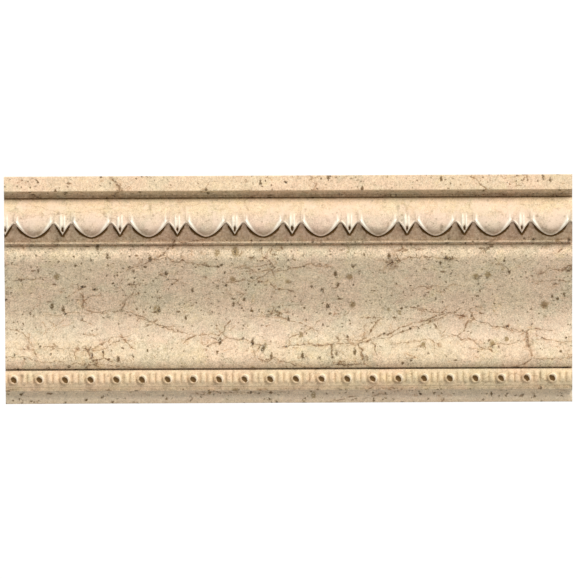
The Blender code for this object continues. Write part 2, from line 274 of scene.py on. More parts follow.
# Pits: stretch, size of the cell, radius in it, level that a cell needs, strength, tint
PITS = (
    ((1.1, 1.0, 0.8), 9.5, 0.24, 0.62, 0.80, PIT_SOFT),
    ((1.5, 1.0, 0.6), 6.4, 0.25, 0.62, 0.92, PIT_DARK),
    ((1.0, 1.0, 1.0), 4.4, 0.22, 0.58, 0.95, PIT_DARK),
    ((0.6, 1.0, 1.5), 5.4, 0.19, 0.66, 0.85, PIT_BROWN),
    ((1.0, 1.0, 1.2), 2.5, 0.26, 0.44, 0.85, PIT_DARK),
)

# Light: strengths, and the key lamp's angles in degrees
BACKDROP_STRENGTH = 1.05
FILL_STRENGTH = 0.72
KEY_STRENGTH = 3.1
KEY_SOFTNESS = 40
KEY_RISE = 46
KEY_RIGHT = 0.3

# Camera and floor, in metres, the sensor in millimetres and the roll in degrees
CAMERA_AWAY = 12.0
CAMERA_ROLL = 0.26
CLIP_START = 0.5
CLIP_END = 60
SENSOR_WIDTH = 36
VIEW_PLANE = 0.035
FRAME_WIDTH = 0.2895
VIEW_X = 0.0005
VIEW_Z = 0.0388
FLOOR_REACH = 2.4
FLOOR_LEVEL = -0.17

# Fineness of the mesh
PLAIN_STEPS = 24
EGG_STEPS = 24
NOTCH_STEPS = 3
DART_STEPS = 14
FACE_STEPS = 36
GROUND_STEPS = 12
STRIP_STEPS = 22
CELL_STEPS = 16
REEL_STEPS = 12
BEAD_RINGS = 14
COVE_STEPS = 24
ARRIS_STEPS = 12
ROLL_STEPS = 8
CAVETTO_STEPS = 7
ROUND_STEPS = 3
OUTLINE_POINTS = 200
CUT_MARGIN = 4.0
SHARP_ANGLE = math.radians(50)

# Sizes that follow
HALF_LENGTH = LENGTH / 2
STRIP_HEIGHT = BEAD_FOOT_MARGIN + 2 * BEAD_RADIUS + BEAD_TOP_MARGIN
STRIP_FRONT_RISE = STRIP_FRONT_SHARE * STRIP_HEIGHT
REEL_HEIGHT = STRIP_HEIGHT - REEL_FOOT_MARGIN - REEL_TOP_MARGIN
REEL_WIDTH = (BEAD_PITCH - 2 * BEAD_RADIUS - BEAD_TO_REEL_GAP - REEL_TO_BEAD_GAP) / 2
NOTCH_RISE = EGG_CLEARANCE + EGG_DROP
CARVING_RISE = NOTCH_RISE + FADE_HEIGHT
OVOLO_HEIGHT = CARVING_RISE + PLAIN_OVOLO_HEIGHT
EGG_HALF = (EGG_PITCH - DART_WIDTH) / 2 - NOTCH_WIDTH
DART_HALF = DART_WIDTH / 2
NOTCH_MIDDLE = EGG_HALF + NOTCH_WIDTH / 2

BOTTOM = -WALL_FACE_HEIGHT / 2
LIP_FOOT = BOTTOM + FILLET_HEIGHT
STRIP_FOOT = LIP_FOOT + LIP_HEIGHT
STRIP_TOP = STRIP_FOOT + STRIP_HEIGHT
ROLL_FOOT = STRIP_TOP + QUIRK_HEIGHT
ROLL_FRONT = ROLL_FOOT + ROLL_UNDER_HEIGHT
COVE_FOOT = ROLL_FRONT + ROLL_FACE_HEIGHT
BAND_FOOT = (
    COVE_FOOT
    + (COVE_RADIUS + ARRIS_RADIUS) * math.sin(SLOPE_ANGLE)
    + SLOPE_LENGTH * math.cos(SLOPE_ANGLE)
)
GROOVE_FOOT = BAND_FOOT + BAND_HEIGHT
LISTEL_FOOT = GROOVE_FOOT + GROOVE_HEIGHT
OVOLO_FOOT = LISTEL_FOOT + LISTEL_HEIGHT
OVOLO_TOP = OVOLO_FOOT + OVOLO_HEIGHT
STEP_FOOT = OVOLO_TOP + NECK_HEIGHT
CAVETTO_FOOT = STEP_FOOT + STEP_HEIGHT
CAP_FOOT = CAVETTO_FOOT + CAVETTO_HEIGHT
TOP = CAP_FOOT + CAP_HEIGHT
NOTCH_LEVEL = OVOLO_FOOT + NOTCH_RISE
CARVING_TOP = OVOLO_FOOT + CARVING_RISE
BEAD_LEVEL = STRIP_FOOT + BEAD_FOOT_MARGIN + BEAD_RADIUS

LIP_DEPTH = FILLET_THICKNESS + LIP_OUT
STRIP_DEPTH = FILLET_THICKNESS + STRIP_OUT
ROLL_DEPTH = FILLET_THICKNESS + ROLL_OUT
BAND_DEPTH = (
    ROLL_DEPTH
    + (COVE_RADIUS + ARRIS_RADIUS) * (1 - math.cos(SLOPE_ANGLE))
    + SLOPE_LENGTH * math.sin(SLOPE_ANGLE)
)
LISTEL_DEPTH = BAND_DEPTH + LISTEL_OUT
OVOLO_DEPTH = BAND_DEPTH + OVOLO_OUT
NECK_DEPTH = OVOLO_DEPTH - OVOLO_TOP_BACK - NECK_CUT
STEP_DEPTH = NECK_DEPTH + STEP_OUT
CAP_DEPTH = OVOLO_DEPTH + CAP_OUT


def ramp(value, low, high):
    """0 at low, 1 at high, smooth between; low may be the larger."""
    share = np.clip((value - low) / (high - low), 0, 1)
    return share * share * (3 - 2 * share)


def bump(value, at, width):
    """1 at one value, dying away on both sides."""
    return np.exp(-(((value - at) / width) ** 2))


class Skin:
    """A mesh in the making: rows of vertices with their gilding and painted highlight, patina
    and painted shadow, wash and painted shade.
    """

    def __init__(self):
        self.bm = bmesh.new()
        layers = self.bm.verts.layers.float
        self.gilding_and_highlight = layers.new("gilding_and_highlight")
        self.patina_and_shade = layers.new("patina_and_shade")
        self.wash_and_shade = layers.new("wash_and_shade")

    def vertex(self, x, depth, height, gilding_and_highlight=0.0, patina_and_shade=0.0, wash_and_shade=0.0):
        """One vertex, placed in millimetres: depth is how far out from the wall it is."""
        vert = self.bm.verts.new((x * MM, -depth * MM, height * MM))
        vert[self.gilding_and_highlight] = gilding_and_highlight
        vert[self.patina_and_shade] = patina_and_shade
        vert[self.wash_and_shade] = wash_and_shade
        return vert

    def row(self, xs, depth, height, gilding_and_highlight=0.0, patina_and_shade=0.0, wash_and_shade=0.0):
        """A row along the length; each value is one for all vertices or one for each."""
        columns = np.broadcast_arrays(xs, depth, height, gilding_and_highlight, patina_and_shade, wash_and_shade)
        return [self.vertex(*(float(value) for value in point)) for point in zip(*columns)]

    def straight_row(self, depth, height, wash_and_shade=0.0):
        """A row of a plain member, a little longer than the cornice at both ends."""
        reach = HALF_LENGTH + CUT_MARGIN
        xs = np.linspace(-reach, reach, PLAIN_STEPS + 1)
        return [self.vertex(x, depth, height, wash_and_shade=wash_and_shade) for x in xs]

    def join(self, lower, upper):
        """Faces between two rows that run along the length, whatever their counts."""
        i = 0
        j = 0
        while i < len(lower) - 1 or j < len(upper) - 1:
            low_next = lower[i + 1].co.x if i < len(lower) - 1 else math.inf
            up_next = upper[j + 1].co.x if j < len(upper) - 1 else math.inf
            if abs(low_next - up_next) < 1e-6:
                self.bm.faces.new((lower[i], lower[i + 1], upper[j + 1], upper[j]))
                i += 1
                j += 1
            elif low_next < up_next:
                self.bm.faces.new((lower[i], lower[i + 1], upper[j]))
                i += 1
            else:
                self.bm.faces.new((lower[i], upper[j + 1], upper[j]))
                j += 1

    def join_all(self, rows):
        for lower, upper in zip(rows, rows[1:]):
            self.join(lower, upper)


def rounded(corners):
    """A profile (depth, height, wash and painted shade, radius) with its corners rounded off.

    A long flat beside a corner gets a row of its own near it, so that it shades as flat.
    """
    points = [corners[0][:3]]
    for before, here, after in zip(corners, corners[1:], corners[2:]):
        radius = here[3]
        if radius == 0:
            points.append(here[:3])
            continue
        middle = Vector(here[:2])
        arms = []
        supports = []
        for other in (before, after):
            arm = Vector(other[:2]) - middle
            arms.append(arm.normalized() * min(radius, arm.length * 0.45))
            beyond = middle + arm.normalized() * radius * 1.4
            roomy = arm.length > radius * 4
            supports.append([(beyond.x, beyond.y, here[2])] if roomy else [])
        points += supports[0]
        for i in range(ROUND_STEPS + 1):
            share = i / ROUND_STEPS
            start = middle + arms[0]
            end = middle + arms[1]
            point = start * (1 - share) ** 2 + middle * 2 * share * (1 - share) + end * share**2
            points.append((point.x, point.y, here[2]))
        points += supports[1]
    points.append(corners[-1][:3])
    return points


def strip_depth(height):
    """The strip's face, which leans back a little towards its top and its foot."""
    rise = height - STRIP_FOOT
    if rise > STRIP_FRONT_RISE:
        share = (rise - STRIP_FRONT_RISE) / (STRIP_HEIGHT - STRIP_FRONT_RISE)
        return STRIP_DEPTH - STRIP_TOP_BACK * share**2
    share = 1 - rise / STRIP_FRONT_RISE
    return STRIP_DEPTH - STRIP_FOOT_BACK * share**2


def ovolo_depth(height):
    """The ovolo's round face, furthest out at the level of the notches."""
    rise = height - OVOLO_FOOT
    above = np.clip((rise - NOTCH_RISE) / (OVOLO_HEIGHT - NOTCH_RISE), 0, None)
    below = np.clip(1 - rise / NOTCH_RISE, 0, None)
    return OVOLO_DEPTH - OVOLO_TOP_BACK * above**2 - OVOLO_FOOT_BACK * below**2


def ground_depth(height):
    """The sunk ground under the carving, from the listel up to the notches."""
    foot = LISTEL_DEPTH - LISTEL_LEDGE
    notch = ovolo_depth(NOTCH_LEVEL) - NOTCH_CUT
    return foot + (notch - foot) * (height - OVOLO_FOOT) / NOTCH_RISE


def egg_edge(from_egg):
    """Height of an egg's lower outline."""
    foot = OVOLO_FOOT + EGG_CLEARANCE
    share = np.clip(from_egg / EGG_HALF, 0, 1)
    return foot + (NOTCH_LEVEL - foot) * share**EGG_ROUNDNESS


def dart_edge(from_dart):
    """Height of a dart's lower outline."""
    foot = OVOLO_FOOT + DART_CLEARANCE
    share = np.clip(1 - from_dart / DART_HALF, 0, 1)
    return NOTCH_LEVEL - (NOTCH_LEVEL - foot) * share**DART_HOLLOW


def carving_edge(from_egg):
    """Height of the carving's lower outline, whichever ornament is near."""
    from_dart = EGG_PITCH / 2 - from_egg
    return np.where(from_egg < NOTCH_MIDDLE, egg_edge(from_egg), dart_edge(from_dart))


def distance_to(edge, reach, xs, heights):
    """Shortest distance from each point to the outline of one ornament."""
    across = np.linspace(0, reach, OUTLINE_POINTS)
    outline = np.stack([across, edge(across)], 1)
    points = np.stack([xs, heights], 1)
    away = np.linalg.norm(points[:, None, :] - outline[None, :, :], axis=2)
    return away.min(1)


def stem(from_notch, height):
    """A ridge that runs up from each notch, leaning away from the egg, and dies away."""
    rise = height - NOTCH_LEVEL
    share = np.clip(rise / STEM_TALL, 0, 1)
    tall = (1 - share) ** STEM_DIES * ramp(rise, *STEM_BELOW)
    return tall * bump(from_notch, STEM_TO_EGG * (share - 1), STEM_WIDTH * (1 - 0.2 * share))


def off_notch(from_egg):
    """0 at a notch, 1 clear of it."""
    return 1 - NOTCH_CALM * bump(from_egg, NOTCH_MIDDLE, NOTCH_CALM_WIDTH)


def egg_surface(from_egg, height, fade):
    """Relief, gilding, patina and painted shade of an egg: a cushion inside a thin raised rim,
    darkened towards its foot, where it curves under, and in a crease beside its shoulder.
    """
    away = distance_to(egg_edge, NOTCH_MIDDLE, from_egg, height)
    side = np.clip(from_egg / EGG_HALF, 0, 1)
    low = ramp(height, NOTCH_LEVEL, OVOLO_FOOT + EGG_CLEARANCE)
    sink = EGG_SINK + EGG_FOOT_SINK * low
    relief = -sink * np.exp(-((away / EGG_SINK_REACH) ** SINK_CURVE))

    calm = off_notch(from_egg)
    rim_at = EGG_RIM_AT_FOOT + (EGG_RIM_AT_NOTCH - EGG_RIM_AT_FOOT) * side**EGG_RIM_MOVES
    rim_width = EGG_RIM_WIDTH * (EGG_RIM_NARROW + EGG_RIM_WIDENS * side)
    rim_out = EGG_RIM_OUT * (EGG_RIM_LOW_SHARE + (1 - EGG_RIM_LOW_SHARE) * side)
    relief += rim_out * bump(away, rim_at, rim_width) * calm
    glow = bump(away, rim_at + 0.5 * side, 1.5 * rim_width) * calm
    gilding_and_highlight = glow * EGG_RIM_GILDING * ramp(side, *EGG_GILDED_SIDE)

    rise = height - NOTCH_LEVEL
    upright = ramp(rise, *SHOULDER_ABOVE) * ramp(rise, *SHOULDER_BELOW)
    shoulder_at = SHOULDER_AT - SHOULDER_LEAN * ramp(rise, *SHOULDER_LEANS)
    shoulder = bump(from_egg, shoulder_at, SHOULDER_WIDTH) * upright
    relief += SHOULDER_OUT * shoulder
    gilding_and_highlight = np.maximum(gilding_and_highlight, SHOULDER_GILDING * shoulder)

    # Painted shade: the egg darkens towards its foot, where its face turns down.
    inside = ramp(away, rim_at, rim_at + 0.7) * ramp(away, *EGG_SHADE_AWAY)
    wash_and_shade = EGG_FOOT_SHADE * inside * ramp(rise, *EGG_SHADE_BELOW)
    # Painted shade in a thin crease beside the shoulder.
    beside_shoulder = SHOULDER_CREASE_SHADE * bump(from_egg, EGG_HALF - 0.15, 0.2) * upright
    return relief * fade, gilding_and_highlight * fade, 0.0, np.maximum(wash_and_shade, beside_shoulder)


def dart_surface(from_dart, height, fade):
    """The same for a dart: rims, two ridges, hollow facets with painted shade low in them, and
    a pit with patina.
    """
    reach = EGG_PITCH / 2 - NOTCH_MIDDLE
    away = distance_to(dart_edge, reach, from_dart, height)
    across = np.clip((from_dart - DART_RIDGE_AT) / (reach - DART_RIDGE_AT), 0, 1)
    relief = -DART_FACET_SINK * np.sin(math.pi * across)
    relief -= DART_SINK * np.exp(-((away / DART_SINK_REACH) ** SINK_CURVE))
    rim = bump(away, DART_RIM_AT, DART_RIM_WIDTH) * off_notch(EGG_PITCH / 2 - from_dart)
    relief += DART_RIM_OUT * rim

    rise = height - OVOLO_FOOT
    ridge_foot = PIT_RISE + PIT_HALF_HEIGHT
    tall = ramp(rise, DART_RIDGE_TOP + DART_RIDGE_FADE, DART_RIDGE_TOP - DART_RIDGE_FADE)
    tall = tall * ramp(rise, ridge_foot - 1.5, ridge_foot)
    ridge = bump(from_dart, DART_RIDGE_AT, DART_RIDGE_WIDTH) * tall
    relief += DART_RIDGE_OUT * ridge
    pit = bump(rise, PIT_RISE, PIT_HALF_HEIGHT) * bump(from_dart, 0, PIT_HALF_WIDTH)
    relief -= PIT_DEPTH * pit

    facets = bump(rise, ridge_foot + 1.0, 1.9) * ramp(from_dart, *DART_FACET_ACROSS)
    gilding_and_highlight = np.maximum.reduce([
        DART_RIM_GILDING * rim,
        DART_RIDGE_GILDING * ridge,
        DART_MIDDLE_GILDING * bump(from_dart, 0, 0.6) * tall,
        DART_FACET_GILDING * facets,
        DART_FOOT_GILDING * ramp(rise, DART_RIDGE_TOP, PIT_RISE),
    ]) * (1 - pit)
    # Painted shade low in the hollow facets.
    low = ramp(height - NOTCH_LEVEL, *DART_SHADE_BELOW)
    wash_and_shade = DART_HOLLOW_SHADE * np.sin(math.pi * across) * low
    return relief * fade, gilding_and_highlight * fade, PIT_PATINA * pit, wash_and_shade


def carving_columns():
    """Each column's place along the length and its distance from the nearest egg's middle.

    The columns crowd together towards the egg's side, where its outline is steep.
    """
    half = EGG_PITCH / 2
    notch = half - DART_HALF
    turn = 1.2
    offsets = list(EGG_HALF * np.sin(np.linspace(0, 1, EGG_STEPS + 1) * turn) / math.sin(turn))
    offsets += list(np.linspace(EGG_HALF, notch, NOTCH_STEPS + 1)[1:])
    offsets += list(np.linspace(notch, half, DART_STEPS + 1)[1:])
    columns = []
    for n in range(-1, math.ceil(LENGTH / EGG_PITCH) + 1):
        middle = -HALF_LENGTH + FIRST_EGG + EGG_PITCH * n
        columns += [(middle - offset, offset) for offset in reversed(offsets[:-1])]
        columns += [(middle + offset, offset) for offset in offsets[1:]]
    return np.array(columns).T


def ground_rows(skin, xs, from_egg, edge):
    """The sunk ground between the listel and the carving's edge, with painted shade and brown
    wash over it and a dark painted shadow along the edge.
    """
    half = EGG_PITCH / 2
    side = np.clip(from_egg / EGG_HALF, 0, 1)
    in_dart = from_egg > NOTCH_MIDDLE
    dart_strong = ramp(from_egg, NOTCH_MIDDLE + 0.5, half - 2.8)
    strong = np.where(in_dart, dart_strong, ramp(side, *EGG_GROUND_STRONG))
    egg_wide = 0.8 + 0.45 * bump(side, 0.65, 0.3)
    wide = OUTLINE_WIDTH * np.where(in_dart, 1.1, egg_wide)
    rows = []
    for share in np.linspace(1, 0, GROUND_STEPS + 1) ** 1.6:
        height = edge - (edge - OVOLO_FOOT) * share
        away = np.minimum(
            distance_to(egg_edge, NOTCH_MIDDLE, from_egg, height),
            distance_to(dart_edge, half - NOTCH_MIDDLE, half - from_egg, height),
        )
        close = np.exp(-away / TRENCH_REACH)
        depth = ground_depth(height) - TRENCH_DEPTH * close * strong * (share < 1)
        if share == 0:
            height = height + CARVING_FOOT_LIFT
        # Painted shadow: the dark line under the carving's edge.
        dark = strong * ramp(away, wide * 1.05, wide * 0.35)
        tip = bump(from_egg, NOTCH_MIDDLE, 1.2) * ramp(height - NOTCH_LEVEL, *GROUND_TIP_BELOW)
        # Painted shade and wash on the ground, stronger in the trench and lighter by the
        # notches' tips.
        wash_and_shade = GROUND_SHADE_AND_WASH + (1 - GROUND_SHADE_AND_WASH) * close
        wash_and_shade = wash_and_shade * (1 - (1 - GROUND_SHADE_AND_WASH_AT_TIPS) * tip)
        # The listel's ledge gets painted shade and no shadow line.
        if share == 1:
            wash_and_shade = LISTEL_LEDGE_SHADE
            dark = 0.0
        rows.append(skin.row(xs, depth, height, patina_and_shade=dark, wash_and_shade=wash_and_shade))
    return rows


def carving_rows(skin):
    """Rows of the egg-and-dart carving, from the listel's top edge to the ovolo's top."""
    xs, from_egg = carving_columns()
    from_dart = EGG_PITCH / 2 - from_egg
    edge = carving_edge(from_egg)
    in_egg = from_egg < NOTCH_MIDDLE
    rows = ground_rows(skin, xs, from_egg, edge)
    for step in range(FACE_STEPS + 1):
        height = edge + (CARVING_TOP - edge) * (step / FACE_STEPS) ** 1.25
        fade = ramp(height, CARVING_TOP, NOTCH_LEVEL)
        egg = egg_surface(from_egg, height, fade)
        dart = dart_surface(from_dart, height, fade)
        relief, gilding_and_highlight, patina_and_shade, wash_and_shade = (np.where(in_egg, a, b) for a, b in zip(egg, dart))
        from_notch = from_egg - NOTCH_MIDDLE
        ridge = stem(from_notch, height)
        relief = relief + STEM_OUT * ridge
        gilding_and_highlight = np.maximum(gilding_and_highlight, STEM_GILDING * ridge)
        rise = height - NOTCH_LEVEL
        # Painted shade in a thin crease beside each stem, on the dart's side.
        beside = bump(from_notch, 0.45, 0.4)
        beside = beside * ramp(rise, *STEM_SHADE_ABOVE) * ramp(rise, *STEM_SHADE_BELOW)
        wash_and_shade = np.maximum(wash_and_shade, STEM_CREASE_SHADE * beside)
        # Painted shadow: the carving's lowest row is darkened along the outline, except by the
        # notches.
        if step == 0:
            patina_and_shade = np.maximum(patina_and_shade, ramp(np.abs(from_notch), 1.3, 2.8))
            gilding_and_highlight = gilding_and_highlight * (1 - patina_and_shade)
        depth = ovolo_depth(height) + relief
        rows.append(skin.row(xs, depth, height, gilding_and_highlight, patina_and_shade, wash_and_shade * (1 - gilding_and_highlight)))
    # Painted shade on the ovolo's top, darkest in the neck under the cap.
    for below_top, wash_and_shade in OVOLO_TOP_SHADES:
        height = OVOLO_TOP - below_top
        rows.append(skin.straight_row(float(ovolo_depth(height)), height, wash_and_shade))
    return rows


def reel_shape(across, height):
    """How far a reel stands out, and the painted shade in the gaps beside it and on its left
    flank.
    """
    up = (height - STRIP_FOOT - REEL_FOOT_MARGIN) / REEL_HEIGHT * 2 - 1
    if abs(up) >= 1 or abs(across) > 1:
        return 0.0, 0.0
    tall = math.sqrt(1 - up**4)
    out = (REEL_OUT + REEL_GAP_CUT) * (1 - across**2) - REEL_GAP_CUT
    left = float(ramp(across, *REEL_LEFT_SIDE))
    wash_and_shade = max(REEL_GAP_SHADE * across**6, REEL_LEFT_SHADE * left)
    return out * tall, wash_and_shade * min(1, tall * 1.5) * float(ramp(up, 1.0, 0.5))


def strip_column(skin, x, across):
    """A column up the strip; across is its place on a reel, -1 to 1 from left to right."""
    column = []
    for height in np.linspace(STRIP_FOOT, STRIP_TOP, STRIP_STEPS + 1):
        out, wash_and_shade = reel_shape(across, height)
        column.append(skin.vertex(x, strip_depth(height) + out, height, wash_and_shade=wash_and_shade))
    return column


def bead_out(radius):
    """How far a bead stands out of the strip: a round ring with a pierced middle."""
    moat = MOAT_DEPTH * bump(radius, BEAD_RADIUS, MOAT_WIDTH)
    if radius > BEAD_CREST_RADIUS:
        share = (radius - BEAD_CREST_RADIUS) / (BEAD_RADIUS - BEAD_CREST_RADIUS)
        return BEAD_OUT * max(0, 1 - share**2) ** BEAD_ROUNDNESS - moat
    share = radius / BEAD_CREST_RADIUS
    return BEAD_OUT * (1 - BEAD_PIERCE * (1 - share**2) ** HOLE_ROUNDNESS) - moat


def bead_colour(x, up):
    """Gilding, patina and painted light: a dark slanting hole of patina, a painted highlight on
    the ring at right, painted shade on it at left.
    """
    radius = math.hypot(x, up)
    along = (x - HOLE_RIGHT - up) / math.sqrt(2)
    across = (x - HOLE_RIGHT + up) / math.sqrt(2)
    in_hole = math.hypot(along / HOLE_HALF_LENGTH, (across + 0.25) / HOLE_HALF_WIDTH)
    patina_and_shade = float(ramp(in_hole, *HOLE_EDGE))
    # Painted shade on the ring's side away from the key light, painted highlight on the side
    # towards it.
    facing_left = (-x * 0.9 - up * 0.43) / max(radius, 0.1)
    ring = float(ramp(radius, *BEAD_RING_INSIDE) * ramp(radius, *BEAD_RING_OUTSIDE))
    wash_and_shade = ring * BEAD_LEFT_SHADE * max(0.0, facing_left)
    gilding_and_highlight = float(bump(radius, 1.9, 0.7)) * BEAD_RIGHT_HIGHLIGHT * max(0.0, -facing_left)
    return gilding_and_highlight, patina_and_shade, wash_and_shade


def add_bead(skin, middle, left, right, below, above):
    """Rings of a bead and of the strip round it, from the cell's border to the middle."""
    border = left + above + right[::-1] + below[::-1]
    angles = [math.atan2(v.co.z / MM - BEAD_LEVEL, v.co.x / MM - middle) for v in border]
    rings = [border]
    for radius in np.linspace(BEAD_RADIUS, BEAD_CENTRE_RING, BEAD_RINGS):
        ring = []
        for angle in angles:
            x = radius * math.cos(angle)
            up = radius * math.sin(angle)
            depth = strip_depth(BEAD_LEVEL + up) + bead_out(radius)
            ring.append(skin.vertex(middle + x, depth, BEAD_LEVEL + up, *bead_colour(x, up)))
        rings.append(ring)
    count = len(border)
    for outer, inner in zip(rings, rings[1:]):
        for i in range(count):
            j = (i + 1) % count
            skin.bm.faces.new((outer[j], outer[i], inner[i], inner[j]))
    depth = strip_depth(BEAD_LEVEL) + bead_out(0)
    centre = skin.vertex(middle, depth, BEAD_LEVEL, patina_and_shade=1)
    for i in range(count):
        skin.bm.faces.new((rings[-1][(i + 1) % count], rings[-1][i], centre))


def reel_columns(skin, pair_middle):
    """Columns of the two reels between a pair of beads; they share the middle one."""
    columns = []
    for side in (-0.5, 0.5):
        places = np.linspace(-1, 1, REEL_STEPS + 1)
        for across in places if side < 0 else places[1:]:
            x = pair_middle + REEL_WIDTH * (side + across / 2)
            columns.append(strip_column(skin, x, across))
    return columns


def add_strip(skin):
    """The bead-and-reel strip. Returns its foot row and its top row."""
    before = BEAD_RADIUS + REEL_TO_BEAD_GAP / 2
    after = BEAD_RADIUS + BEAD_TO_REEL_GAP / 2
    foot = []
    top = []
    last = None
    for n in range(-1, math.ceil(LENGTH / BEAD_PITCH) + 1):
        middle = -HALF_LENGTH + FIRST_BEAD + BEAD_PITCH * n
        inner = np.linspace(middle - before, middle + after, CELL_STEPS + 1)[1:-1]
        left = strip_column(skin, middle - before, 1)
        right = strip_column(skin, middle + after, 1)
        below = [skin.vertex(x, strip_depth(STRIP_FOOT), STRIP_FOOT) for x in inner]
        above = [skin.vertex(x, strip_depth(STRIP_TOP), STRIP_TOP) for x in inner]
        add_bead(skin, middle, left, right, below, above)
        if last:
            reels = reel_columns(skin, middle - BEAD_RADIUS - REEL_TO_BEAD_GAP - REEL_WIDTH)
            columns = [last] + reels + [left]
            for one, two in zip(columns, columns[1:]):
                for i in range(STRIP_STEPS):
                    skin.bm.faces.new((one[i], two[i], two[i + 1], one[i + 1]))
            foot += [column[0] for column in reels]
            top += [column[-1] for column in reels]
        foot += [left[0]] + below + [right[0]]
        top += [left[-1]] + above + [right[-1]]
        last = right
    return foot, top


def arc_points(centre_depth, centre_height, radius, start, end, steps):
    """Points of a profile along an arc, without wash or rounding."""
    angles = np.linspace(start, end, steps + 1)
    return [
        (centre_depth + radius * math.cos(a), centre_height + radius * math.sin(a), 0, 0)
        for a in angles
    ]


def below_strip():
    """Profile of the fillet and the lip, from the wall to the strip's foot."""
    # The third value of each corner is painted shade: darker towards the fillet's foot, on the
    # lip and at the strip's foot.
    return rounded([
        (0, BOTTOM, 0, 0),
        (FILLET_THICKNESS, BOTTOM, 0.55, EDGE_ROUND),
        (FILLET_THICKNESS, BOTTOM + 0.25 * FILLET_HEIGHT, 0.38, 0),
        (FILLET_THICKNESS, BOTTOM + 0.5 * FILLET_HEIGHT, 0.16, 0),
        (FILLET_THICKNESS, BOTTOM + 0.8 * FILLET_HEIGHT, 0, 0),
        (FILLET_THICKNESS, LIP_FOOT - 0.2, 0, EDGE_ROUND),
        (LIP_DEPTH - 0.4, LIP_FOOT, 0.36, EDGE_ROUND),
        (LIP_DEPTH, LIP_FOOT + LIP_HEIGHT * 0.5, 0.56, EDGE_ROUND),
        (LIP_DEPTH, STRIP_FOOT, 0.4, 0),
        (strip_depth(STRIP_FOOT), STRIP_FOOT, 0.1, 0),
    ])[:-1]


def above_strip():
    """Profile of the quirk, roll, cove, slope, arris, band, groove and listel."""
    # The third value of each corner is painted shade: in the quirk, in and below the groove and
    # on the listel.
    quirk = strip_depth(STRIP_TOP) - QUIRK_CUT
    corners = [
        (strip_depth(STRIP_TOP), STRIP_TOP, 0.4, 0),
        (strip_depth(STRIP_TOP) - EDGE_ROUND, STRIP_TOP + 0.15, 0.6, 0),
        (quirk, STRIP_TOP + 0.2, 0.5, EDGE_ROUND),
        (quirk, ROLL_FOOT, 0.35, EDGE_ROUND),
    ]
    for share in np.linspace(1, 0, ROLL_STEPS + 1):
        depth = ROLL_DEPTH - ROLL_UNDER_BACK * share**2
        # Painted shade under the roll, where its face turns down.
        wash_and_shade = ROLL_UNDER_SHADE * share**3
        corners.append((depth, ROLL_FRONT - ROLL_UNDER_HEIGHT * share, wash_and_shade, 0))
    corners += arc_points(
        ROLL_DEPTH + COVE_RADIUS, COVE_FOOT, COVE_RADIUS,
        math.pi, math.pi - SLOPE_ANGLE, COVE_STEPS,
    )
    corners += arc_points(
        BAND_DEPTH - ARRIS_RADIUS, BAND_FOOT, ARRIS_RADIUS, -SLOPE_ANGLE, 0, ARRIS_STEPS
    )
    groove = BAND_DEPTH - GROOVE_CUT
    corners += [
        (BAND_DEPTH, GROOVE_FOOT - 2.8, 0, 0),
        (BAND_DEPTH, GROOVE_FOOT - 1.4, 0.25, 0),
        (BAND_DEPTH, GROOVE_FOOT, 0.42, EDGE_ROUND * 2),
        (groove, GROOVE_FOOT + 0.1, 0.05, EDGE_ROUND),
        (groove, LISTEL_FOOT, 0, EDGE_ROUND),
        (LISTEL_DEPTH, LISTEL_FOOT, 0.35, FINE_EDGE_ROUND),
        (LISTEL_DEPTH, OVOLO_FOOT, 0.7, FINE_EDGE_ROUND),
        (LISTEL_DEPTH - LISTEL_LEDGE, OVOLO_FOOT, 0.75, 0),
    ]
    return rounded(corners)[1:-1]


def above_carving():
    """Profile of the neck, step, cavetto and cap, then over the top and down the wall."""
    start = STEP_DEPTH + CAVETTO_LEDGE
    # The third value of each corner is painted shade, deepest in the neck and on the step under
    # the cap.
    corners = [
        (float(ovolo_depth(OVOLO_TOP)), OVOLO_TOP, 0, 0),
        (NECK_DEPTH, OVOLO_TOP + 0.1, 0.9, EDGE_ROUND),
        (NECK_DEPTH, STEP_FOOT, 1, EDGE_ROUND),
        (STEP_DEPTH, STEP_FOOT + 0.1, 0.85, FINE_EDGE_ROUND),
        (STEP_DEPTH, CAVETTO_FOOT, 0.75, FINE_EDGE_ROUND),
    ]
    # Painted shade in the cavetto, darkest at its foot.
    for angle in np.linspace(0, math.pi / 2, CAVETTO_STEPS + 1):
        depth = start + (CAP_DEPTH - start) * (1 - math.cos(angle))
        wash_and_shade = CAVETTO_SHADE * (1 - math.sin(angle) ** 2)
        corners.append((depth, CAVETTO_FOOT + CAVETTO_HEIGHT * math.sin(angle), wash_and_shade, 0))
    corners[-1] = (CAP_DEPTH, CAP_FOOT, 0, EDGE_ROUND)
    corners += [
        (CAP_DEPTH, TOP, 0, EDGE_ROUND),
        (CAP_DEPTH - CEILING_FACE_DEPTH, TOP, 0, 0),
        (0, BOTTOM + WALL_FACE_HEIGHT, 0, 0),
        (0, BOTTOM, 0, 0),
    ]
    return rounded(corners)[1:-1]


def cut_square(bm):
    """Cuts the over-long skin off at both ends and closes it there."""
    for side in (-1, 1):
        end = side * HALF_LENGTH * MM
        bmesh.ops.bisect_plane(
            bm,
            geom=bm.verts[:] + bm.edges[:] + bm.faces[:],
            dist=1e-7,
            plane_co=(end, 0, 0),
            plane_no=(side, 0, 0),
            clear_outer=True,
        )
        rim = [edge for edge in bm.edges if len(edge.link_faces) == 1]
        rim = [edge for edge in rim if all(side * v.co.x > abs(end) - 1e-6 for v in edge.verts)]
        bmesh.ops.edgeloop_fill(bm, edges=rim)


